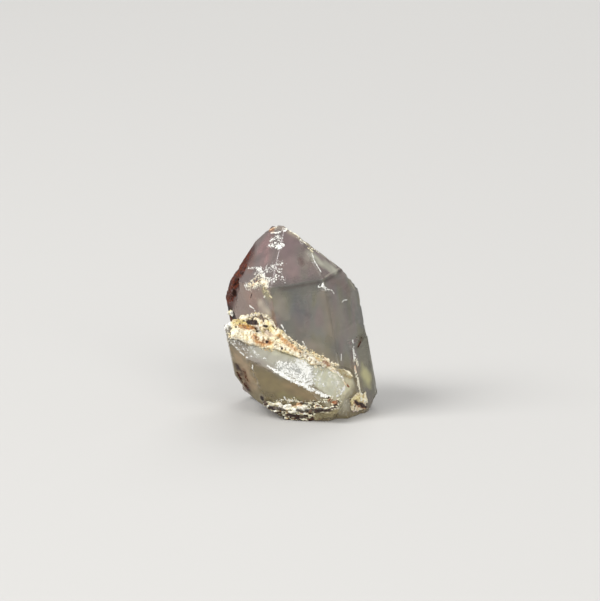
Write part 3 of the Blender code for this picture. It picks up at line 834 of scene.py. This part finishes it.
def lacy_crust(name, surface, look, strokes, paint, thickness=0.2, lace_size=0.45,
               elsewhere=None, splits=2):
    """A thin crust with ragged holes, cut from the quartz surface around strokes of pixels.

    Each stroke is a list of pixels with a width in mm and how fully the crust covers its middle,
    from 0 to 1. The surface's faces are split that many times before the holes are cut.
    """
    def envelope(points):
        best = elsewhere(points) if elsewhere else np.zeros(len(points))
        for pixels, radius, fullness in strokes:
            best = np.maximum(best, fullness * blot(points, pixels, radius, 0.8))
        return best

    inside = envelope(surface.points) > BARE
    mesh = bmesh.new()
    mesh.from_mesh(surface.mesh)
    mesh.verts.ensure_lookup_table()
    away = [face for face in mesh.faces if not any(inside[vert.index] for vert in face.verts)]
    bmesh.ops.delete(mesh, geom=away, context="FACES")
    for _ in range(splits):
        bmesh.ops.subdivide_edges(mesh, edges=mesh.edges[:], cuts=1, use_grid_fill=True)
    mesh.normal_update()
    points = np.array([vert.co[:] for vert in mesh.verts]) / MM
    lace = 0.4 * grain(points, 2.7 * lace_size, 2.5) + 0.4 * grain(points, 0.6 * lace_size, 1.1)
    lace = lace + 1.3 * (0.46 - cells(points, 1.2 * lace_size, 6.5))
    body = envelope(points) - 0.5 + lace
    mesh.verts.index_update()
    gone = [face for face in mesh.faces if sum(body[vert.index] for vert in face.verts) <= 0]
    lumps = 0.5 + 1.0 * (0.6 - cells(points, 0.35, 3.0))
    for vert, amount, lump in zip(mesh.verts, body, lumps):
        swell = 0.2 + min(1.0, max(0.0, amount) * 2.5) * lump
        vert.co += vert.normal * MM * thickness * swell
    bmesh.ops.delete(mesh, geom=gone, context="FACES")
    loose = [vert for vert in mesh.verts if not vert.link_faces]
    bmesh.ops.delete(mesh, geom=loose, context="VERTS")
    data = bpy.data.meshes.new(name)
    mesh.to_mesh(data)
    mesh.free()
    solid, points = skinned(name, data)
    set_colour(solid, paint(points))
    return new_piece(name, solid, look)


DRUSY_STROKES = [  # pixels, reach in mm, fullness
    ([(272, 240), (277, 237), (280, 241)], 1.5, 0.42),
    ([(269, 245), (275, 246)], 0.9, 0.62),
    ([(277, 246), (282, 245), (279, 248)], 1.2, 0.74),
    ([(246, 286), (254, 285), (263, 282), (267, 286)], 1.9, 0.58),
    ([(259, 270), (263, 276), (266, 284)], 1.7, 0.64),
    ([(262, 281), (266, 284)], 1.2, 0.8),
    ([(251, 282), (256, 277)], 1.1, 0.5),
    ([(266, 270), (274, 268), (280, 264)], 1.7, 0.47),
    ([(270, 280), (275, 280), (277, 276)], 1.5, 0.52),
    ([(279, 271), (284, 282)], 1.1, 0.38),
    ([(249, 268), (258, 268)], 0.5, 0.4),
    ([(264, 297), (265, 296)], 0.4, 0.9),
    ([(270, 296), (271, 297)], 0.45, 0.95),
    ([(264, 290), (269, 293)], 1.2, 0.36),
    ([(271, 233), (279, 232.5), (285, 231), (287, 229)], 0.5, 0.95),
    ([(270, 230), (274, 228), (276, 227), (281, 224.5), (286, 227)], 0.4, 0.85),
    ([(287, 229), (296, 234.5), (305, 240.5)], 0.35, 0.8),
    ([(298, 238), (306, 244), (312, 249)], 0.45, 0.5),
    ([(312, 254), (315, 262), (318, 267), (321, 272)], 0.28, 0.85),
    ([(308, 248), (311, 250), (312, 251)], 0.6, 0.85),
    ([(314, 249), (318, 252)], 0.7, 0.5),
    ([(319, 287), (323, 286), (326, 289)], 0.7, 0.75),
    ([(323, 283), (323, 288)], 0.4, 0.9),
    ([(327, 289), (331, 290), (334, 293)], 0.3, 0.7),
    ([(342, 302), (344, 300), (347, 300)], 0.26, 0.95),
    ([(341, 354), (341, 360)], 0.3, 0.85),
    ([(281, 323), (283, 328), (286, 332)], 0.35, 0.75),
    ([(250, 306), (254, 309), (255, 311)], 0.45, 0.8),
    ([(252.5, 365), (252.5, 370)], 0.28, 0.95),
    ([(284.5, 397), (286, 400)], 0.35, 0.95),
    ([(303, 342), (306, 348)], 0.4, 0.6),
]
SUTURE_STROKES = [
    ([(352.5, 340), (353, 350)], 0.36, 1.0),
    ([(353, 349), (354.5, 362), (355, 371)], 0.6, 0.95),
    ([(355, 356), (358, 367)], 1.1, 0.5),
    ([(355.5, 371), (357.5, 378), (359, 386)], 0.7, 1.0),
    ([(359, 386), (360, 392), (358, 396)], 0.4, 1.0),
]
EDGING_STROKES = [
    ([(237, 321), (244, 318), (257, 314), (268, 317), (274, 325), (281, 333), (296, 344)],
     1.1, 0.75),
    ([(296, 344), (308, 351), (319, 356), (331, 362)], 1.0, 0.75),
    ([(331, 362.5), (338, 365), (346, 371), (353, 377)], 0.55, 0.85),
    ([(236, 329), (244, 334), (254, 343), (267, 348), (290, 352), (304, 358)], 1.5, 0.76),
    ([(304, 358), (312, 364), (320, 368), (329, 368)], 0.9, 0.7),
    ([(333, 370), (339, 374), (343, 379), (346, 385)], 0.55, 0.85),
    ([(229, 333), (230, 338), (228, 341)], 0.7, 0.7),
    ([(357, 395), (364, 396), (367, 402)], 1.0, 0.6),
    ([(350, 400), (353, 408)], 0.9, 0.55),
]
BASE_EDGING_STROKES = [
    ([(266, 404), (274, 403), (284, 400), (296, 401)], 1.2, 0.62),
    ([(294, 398), (297, 401)], 0.8, 0.8),
    ([(296, 402), (309, 404), (325, 400), (337, 400)], 1.4, 0.68),
    ([(330, 398), (340, 403)], 1.2, 0.7),
    ([(284, 416), (300, 420), (316, 418), (338, 409)], 1.2, 0.55),
]
FIBRE_STROKES = [
    ([(278, 365), (292, 366), (302, 362)], 2.0, 0.6),
    ([(300, 361), (306, 370), (311, 380)], 2.8, 0.8),
    ([(284, 371), (296, 376), (306, 383)], 1.9, 0.8),
    ([(268, 366.5), (276, 371)], 0.5, 0.85),
    ([(276, 371), (290, 379), (306, 387), (327, 397)], 0.95, 0.9),
    ([(258, 356), (268, 360)], 1.0, 0.36),
    ([(234, 336), (244, 345), (254, 353)], 2.2, 0.36),
    ([(229, 341), (237, 349), (247, 358)], 0.6, 0.66),
    ([(343, 379), (346, 385), (343, 391), (337, 396)], 0.6, 0.7),
    ([(331, 375), (337, 382), (339, 389)], 1.9, 0.47),
    ([(320, 379), (325, 390)], 1.2, 0.38),
    ([(316, 371), (313, 384)], 0.5, 0.55),
    ([(331, 372), (334, 379), (333, 386)], 0.26, 0.7),
    ([(318, 371), (314, 378), (312, 386)], 0.3, 0.8),
    ([(323, 372), (319, 380), (318, 387)], 0.25, 0.7),
    ([(331, 369), (338, 373.5), (343, 379), (345, 384), (343, 390)], 0.7, 0.85),
    ([(346, 386), (347, 399), (343, 413)], 0.22, 0.8),
    ([(351, 385), (352, 394), (349, 404)], 0.2, 0.8),
    ([(341, 401), (338, 412)], 0.2, 0.75),
    ([(321, 391), (331, 390), (339, 385)], 0.26, 0.7),
    ([(322, 394), (332, 397)], 0.6, 0.8),
]
STAIN_STROKES = [
    ([(246, 266), (242, 274), (237, 284), (234, 292), (232, 299)], 1.3, 0.85),
    ([(247, 257), (240, 270), (233, 284), (228, 300)], 2.8, 0.62),
    ([(229, 316), (232, 321), (235, 322)], 1.0, 0.95),
    ([(231, 333), (232, 337)], 0.6, 0.8),
    ([(238, 373), (242, 381), (247, 387)], 0.8, 0.8),
    ([(244, 371), (246, 377), (248, 384)], 0.9, 0.5),
    ([(252, 294), (250.5, 298)], 0.3, 0.95),
    ([(257, 281)], 0.45, 0.9),
    ([(358, 347), (360, 343), (362, 338)], 0.4, 0.85),
    ([(347, 385), (349, 387)], 0.35, 0.85),
]


LEDGE_SINKS = [  # pixels, reach in mm, drop in mm
    ([(323, 352), (331, 356), (338, 361)], 2.8, 1.4),
    ([(301, 346), (309, 350), (318, 353)], 1.8, 0.7),
    ([(275, 352), (285, 356), (295, 360), (304, 364)], 1.6, -0.9),
]
FOOT_SINKS = [([(352, 413), (360, 415), (368, 412)], 2.4, -0.9)]
LEDGE_PRESSES = [([(338, 368), (346, 374), (353, 378)], 6.0, 0.97)]  # pixels, reach in mm, amount
FOOT_PRESSES = [
    ([(350, 404), (359, 398), (368, 404)], 5.0, 0.45),
    ([(357, 404), (364, 406)], 1.8, 0.7),
    ([(368, 393), (372, 400), (373, 411)], 2.8, 0.95),
    ([(350, 392), (353, 396)], 2.0, 0.9),
    ([(352, 412), (361, 414), (370, 412)], 3.0, 0.9),
]
BASE_PRESSES = [
    ([(320, 416), (332, 415), (340, 411)], 2.6, 0.75),
    ([(260, 402), (264, 406)], 2.0, 0.6),
]


def ring(mesh, place, height, width, sides=6):
    """New corners around a crystal's axis, at a height and a distance from it in mm."""
    turns = [math.tau * i / sides for i in range(sides)]
    spots = [Vector((width * math.cos(turn), width * math.sin(turn), height)) for turn in turns]
    return [mesh.verts.new(place @ (spot * MM)) for spot in spots]


def small_crystals(name, look, clusters):
    """Little six-sided crystals standing on the quartz where pixels show it."""
    chance = random.Random(7)
    mesh = bmesh.new()
    for (u, v), count, spread, size in clusters:
        for _ in range(count):
            across, down = u + chance.uniform(-spread, spread), v + chance.uniform(-spread, spread)
            spot, normal = QUARTZ.seen(across, down)
            lean = Vector([chance.uniform(-0.6, 0.6) for _ in range(3)])
            up = (normal + lean).normalized()
            radius, length = size * chance.uniform(0.5, 1.0), size * chance.uniform(1.2, 2.4)
            turn = up.to_track_quat("Z", "Y").to_matrix().to_4x4()
            place = Matrix.Translation((spot - up * radius) * MM) @ turn
            low = ring(mesh, place, 0, radius)
            high = ring(mesh, place, length, radius * 0.9)
            (tip,) = ring(mesh, place, length + radius, 0.0, sides=1)
            for i in range(6):
                mesh.faces.new((low[i], low[(i + 1) % 6], high[(i + 1) % 6], high[i]))
                mesh.faces.new((high[i], high[(i + 1) % 6], tip))
            mesh.faces.new(low[::-1])
    data = bpy.data.meshes.new(name)
    mesh.to_mesh(data)
    mesh.free()
    set_colour(data, white_paint(read_points(data)[0]))
    return new_piece(name, data, look, smooth_faces=False)


CRYSTAL_CLUSTERS = [  # pixel, how many, spread in pixels, size in mm
    ((229, 326), 18, 3.5, 0.55),
    ((235, 330), 10, 3.0, 0.4),
    ((231, 312), 4, 1.2, 0.7),
    ((361, 398), 10, 4.0, 0.45),
    ((277, 243), 10, 6.0, 0.3),
    ((262, 280), 16, 8.0, 0.3),
    ((324, 287), 5, 2.0, 0.35),
]


FLOOR_REACH = 4.0  # metres from the middle
FLOOR_COLOUR, FLOOR_ROUGHNESS = (0.5, 0.49, 0.47, 1), 0.9
LAMPS = {  # place and size in metres, power in watts
    "key": ((-1.6, -0.7, 1.6), 1.3, 56.0),
    "front": ((0.8, -2.0, 1.2), 1.4, 32.0),
    "back": ((0.4, 1.8, 1.6), 1.3, 22.0),
}
LAMP_TARGET = Vector((0, 0, 0.03))  # metres
SKY_COLOUR, SKY_STRENGTH = (0.92, 0.93, 0.95, 1), 0.5


def stage():
    reach = FLOOR_REACH
    mesh = bpy.data.meshes.new("floor")
    corners = [(-reach, -reach, 0), (reach, -reach, 0), (reach, reach, 0), (-reach, reach, 0)]
    mesh.from_pydata(corners, [], [(0, 1, 2, 3)])
    floor = bpy.data.objects.new("floor", mesh)
    bpy.context.scene.collection.objects.link(floor)
    nodes = Nodes("pale floor")
    nodes.shader.inputs["Base Color"].default_value = FLOOR_COLOUR
    nodes.shader.inputs["Roughness"].default_value = FLOOR_ROUGHNESS
    mesh.materials.append(nodes.material)


def light():
    for name, (place, size, power) in LAMPS.items():
        lamp = bpy.data.objects.new(name, bpy.data.lights.new(name, "AREA"))
        lamp.data.size = size
        lamp.data.energy = power
        lamp.location = place
        aim = Vector(place) - LAMP_TARGET
        lamp.rotation_euler = aim.to_track_quat("Z", "Y").to_euler()
        bpy.context.scene.collection.objects.link(lamp)
    world = bpy.data.worlds.new("studio")
    bpy.context.scene.world = world
    world.use_nodes = True
    background = world.node_tree.nodes["Background"]
    background.inputs["Color"].default_value = SKY_COLOUR
    background.inputs["Strength"].default_value = SKY_STRENGTH
    bpy.context.scene.view_settings.view_transform = "Standard"


def build():
    place_camera()
    stage()
    light()
    surface = QuartzSurface()
    surface.shape()
    surface.colour()
    quartz = new_piece("smoky_quartz_fine", surface.mesh, quartz_look())
    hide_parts("smoky_quartz")
    prehnite = crust_look("prehnite crust", [(0.34, (0.62, 0.5, 0.32)), (0.56, (1, 1, 1))], 0.7)
    dark = crust_look("dark crust", [(0.35, (0.56, 0.5, 0.38)), (0.58, (1, 1, 1))], 0.8)
    stain = crust_look("iron stain", [(0.35, (0.7, 0.6, 0.55)), (0.58, (1, 1, 1))], 0.9, IRON_IOR)
    white = crust_look("drusy crust", [(0.3, (0.85, 0.84, 0.8)), (0.6, (1, 1, 1))], 0.4)
    pieces = {
        "smoky_quartz": [quartz],
        "prehnite": [
            lumpy_crust("prehnite_ledge_crust", prehnite, prehnite_paint, LEDGE_PRESSES,
                        LEDGE_SINKS),
            lumpy_crust("prehnite_foot_crust", prehnite, prehnite_paint, FOOT_PRESSES, FOOT_SINKS,
                        soften=30),
            lacy_crust("drusy_patches", surface, white, DRUSY_STROKES, white_paint,
                       thickness=0.16, lace_size=0.33),
            lacy_crust("fibrous_frosting", surface, white, FIBRE_STROKES, frost_paint,
                       thickness=0.06, lace_size=0.3),
            lacy_crust("suture_crust", surface, white, SUTURE_STROKES, white_paint,
                       thickness=0.25),
            lacy_crust("crust_edging", surface, prehnite, EDGING_STROKES, prehnite_paint,
                       thickness=0.22, lace_size=0.4),
            lacy_crust("back_patches", surface, white, [], white_paint, elsewhere=back_scatter,
                       splits=1),
            small_crystals("crystal_tips", white, CRYSTAL_CLUSTERS),
        ],
        "base_crust": [
            lumpy_crust("base_crust", dark, base_paint, BASE_PRESSES, layers=0.4),
            lacy_crust("base_edging", surface, dark, BASE_EDGING_STROKES, base_paint,
                       thickness=0.3, lace_size=0.5),
            lacy_crust("iron_stain", surface, stain, STAIN_STROKES, stain_paint,
                       thickness=0.05, lace_size=0.35),
        ],
    }
    for slot, members in pieces.items():
        for piece in members:
            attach(piece, "root")


build()
